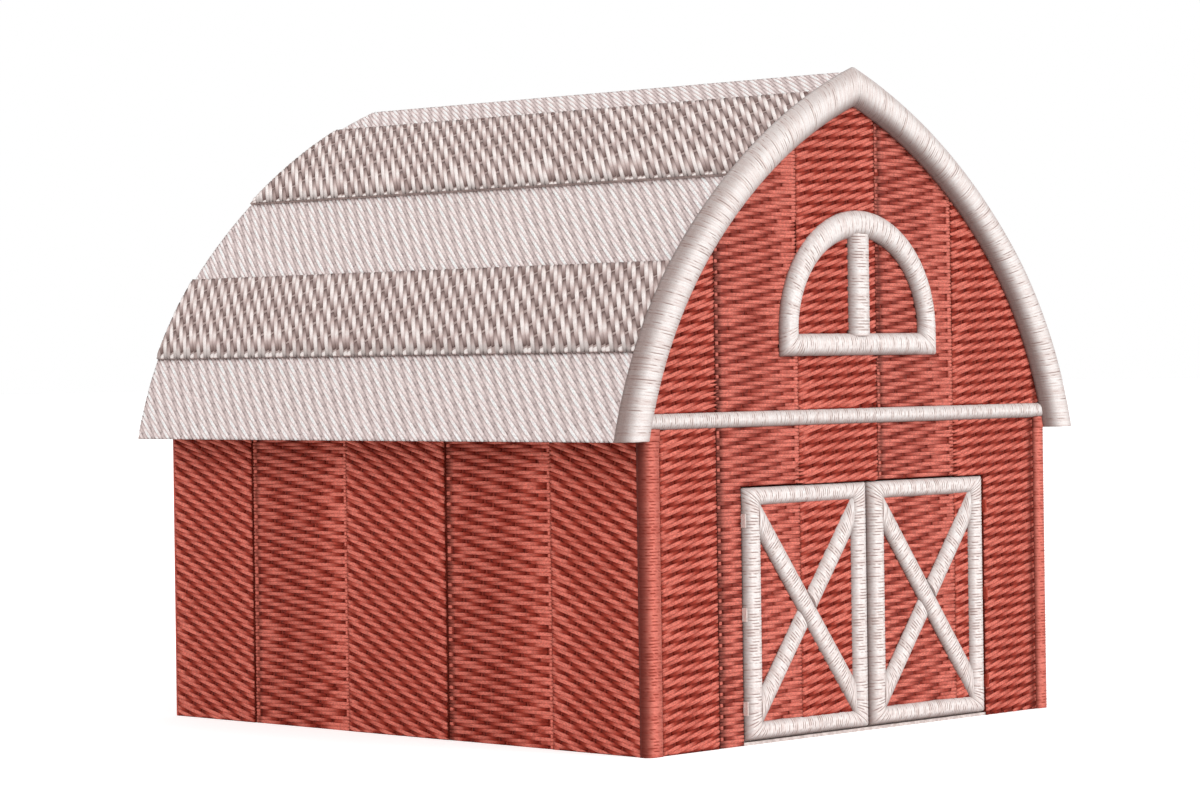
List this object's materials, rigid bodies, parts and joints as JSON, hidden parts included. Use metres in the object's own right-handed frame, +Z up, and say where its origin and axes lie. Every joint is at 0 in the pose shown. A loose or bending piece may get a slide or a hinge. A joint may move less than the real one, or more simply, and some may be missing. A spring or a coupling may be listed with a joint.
{
  "type": "small timber barn",
  "caption": "Small red timber barn with a pointed-arch shingled roof, white barge boards, crossed-brace double doors and a closed half-round loft hatch.",
  "frame": {"origin": "middle of the plan, on the ground", "axes": "+Z up, the gable with the doors faces -Y, the ridge runs along Y"},
  "size_m": [7.08, 7.26, 6.7],
  "materials": {
    "red_boards": "weathered red paint on split boards",
    "red_posts": "red paint",
    "white_trim": "warm white paint on ribbed mouldings",
    "pale_shingles": "pale limewashed shingles",
    "grey_shingles": "greyed shingles",
    "frame_timber": "sawn timber",
    "floor_boards": "worn planks",
    "hinge_iron": "painted with the trim"
  },
  "bodies": {
    "building": {"back_barge_left": "white_trim", "back_barge_right": "white_trim", "back_corner_boards": "red_posts", "back_wall_cladding": "red_boards", "door_head": "frame_timber", "door_post_hinges": "hinge_iron", "door_threshold": "floor_boards", "eave_soffits": "frame_timber", "front_barge_left": "white_trim", "front_barge_right": "white_trim", "front_corner_posts": "red_posts", "front_corner_studs": "frame_timber", "front_lower_cladding": "red_boards", "front_upper_cladding": "red_boards", "gable_belts": "white_trim", "gable_studs": "frame_timber", "ground_floor": "floor_boards", "hatch_arch": "white_trim", "hatch_boards": "red_boards", "hatch_ledges": "frame_timber", "hatch_post": "white_trim", "hatch_sill": "white_trim", "loft_deck": "floor_boards", "loft_joists": "frame_timber", "ridge_beam": "frame_timber", "roof_course_1": "pale_shingles", "roof_course_2": "grey_shingles", "roof_course_3": "pale_shingles", "roof_course_4": "grey_shingles", "roof_course_5": "pale_shingles", "roof_ribs": "frame_timber", "side_wall_cladding": "red_boards", "sill_beams": "frame_timber", "wall_plates": "frame_timber", "wall_posts": "frame_timber", "wall_rails": "frame_timber"},
    "left_door": {"left_door_boards": "red_boards", "left_door_braces": "white_trim", "left_door_core": "red_boards", "left_door_frame": "white_trim", "left_door_hinges": "hinge_iron"},
    "right_door": {"right_door_boards": "red_boards", "right_door_braces": "white_trim", "right_door_core": "red_boards", "right_door_frame": "white_trim", "right_door_hinges": "hinge_iron"}
  },
  "joints": [
    {"name": "left_door_hinge", "type": "hinge", "parent": "building", "child": "left_door", "pos_m": [-1.739, -3.545, 0], "axis": [0, 0, -1], "range_deg": [0, 170]},
    {"name": "right_door_hinge", "type": "hinge", "parent": "building", "child": "right_door", "pos_m": [2.039, -3.545, 0], "axis": [0, 0, 1], "range_deg": [0, 170]}
  ]
}
